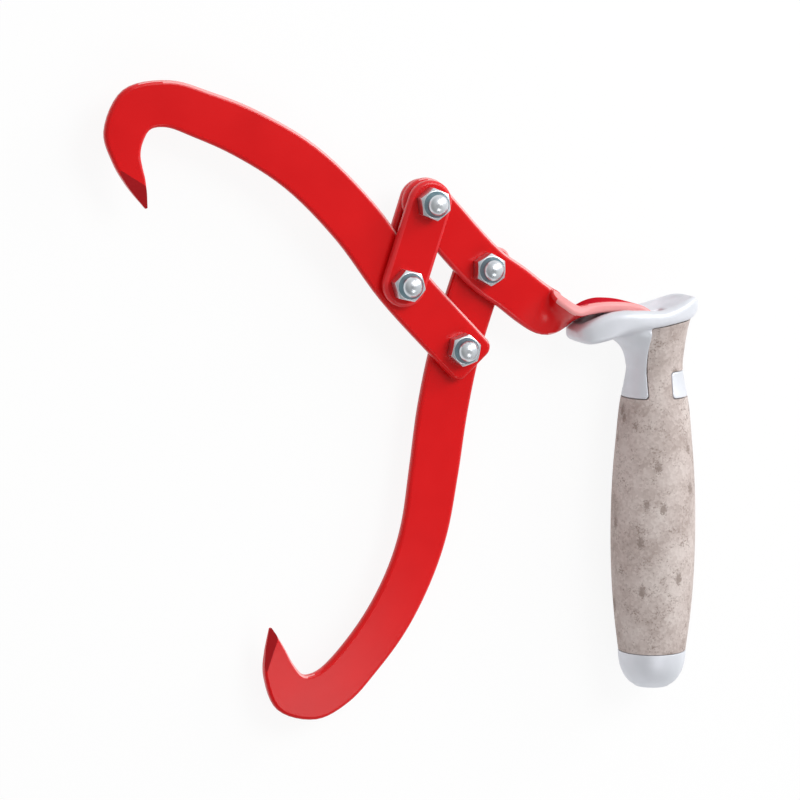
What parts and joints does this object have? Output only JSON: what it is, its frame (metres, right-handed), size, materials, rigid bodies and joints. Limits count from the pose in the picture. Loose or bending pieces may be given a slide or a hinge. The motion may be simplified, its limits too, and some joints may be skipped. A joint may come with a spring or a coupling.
{
  "type": "log lifting tongs",
  "caption": "Hand tongs for lifting logs: hooked steel jaws on a pivoted bar linkage that closes as the upright grip is lifted.",
  "frame": {"origin": "on the plane that the tool's back touches, under the middle of its bounding box", "axes": "+Z from the back toward the dome nuts, +Y along the grip toward the linkage, +X from the jaws toward the grip"},
  "size_m": [0.2816, 0.2906, 0.041],
  "materials": {
    "red_powder_coat": "gloss",
    "zinc_plate": "bright zinc plated",
    "cast_aluminium": "satin cast",
    "cork_composite": "matte, moulded",
    "nylon": "matte",
    "plain_steel": "bare"
  },
  "bodies": {
    "handle": {"handle_bar": "red_powder_coat", "handle_head": "cast_aluminium", "grip": "cork_composite", "end_cap": "cast_aluminium", "tang_pin": "plain_steel", "cap_screw": "plain_steel", "pivot_bolt_c": "zinc_plate", "dome_nut_c": "zinc_plate", "nylon_insert_c": "nylon"},
    "lower_hook": {"lower_jaw": "red_powder_coat"},
    "links": {"front_link": "red_powder_coat", "back_link": "red_powder_coat", "pivot_bolt_a": "zinc_plate", "dome_nut_a": "zinc_plate", "nylon_insert_a": "nylon", "pivot_bolt_b": "zinc_plate", "dome_nut_b": "zinc_plate", "nylon_insert_b": "nylon"},
    "upper_hook": {"upper_jaw": "red_powder_coat", "pivot_bolt_d": "zinc_plate", "dome_nut_d": "zinc_plate", "nylon_insert_d": "nylon"}
  },
  "joints": [
    {"name": "jaw_pivot", "type": "hinge", "parent": "handle", "child": "lower_hook", "pos_m": [0.03684, 0.05776, 0.0196], "axis": [0, 0, 1], "range_deg": [-78, 17]},
    {"name": "link_pivot", "type": "hinge", "parent": "handle", "child": "links", "pos_m": [0.0082, 0.08847, 0.0196], "axis": [0, 0, 1], "range_deg": [-78, 17]},
    {"name": "upper_jaw_pivot", "type": "hinge", "parent": "links", "child": "upper_hook", "pos_m": [-0.00386, 0.05244, 0.0196], "axis": [0, 0, 1], "range_deg": [-17, 78]}
  ],
  "couplings": [
    {"joint": "link_pivot", "follows": "jaw_pivot", "ratio": 1},
    {"joint": "upper_jaw_pivot", "follows": "jaw_pivot", "ratio": -1}
  ]
}
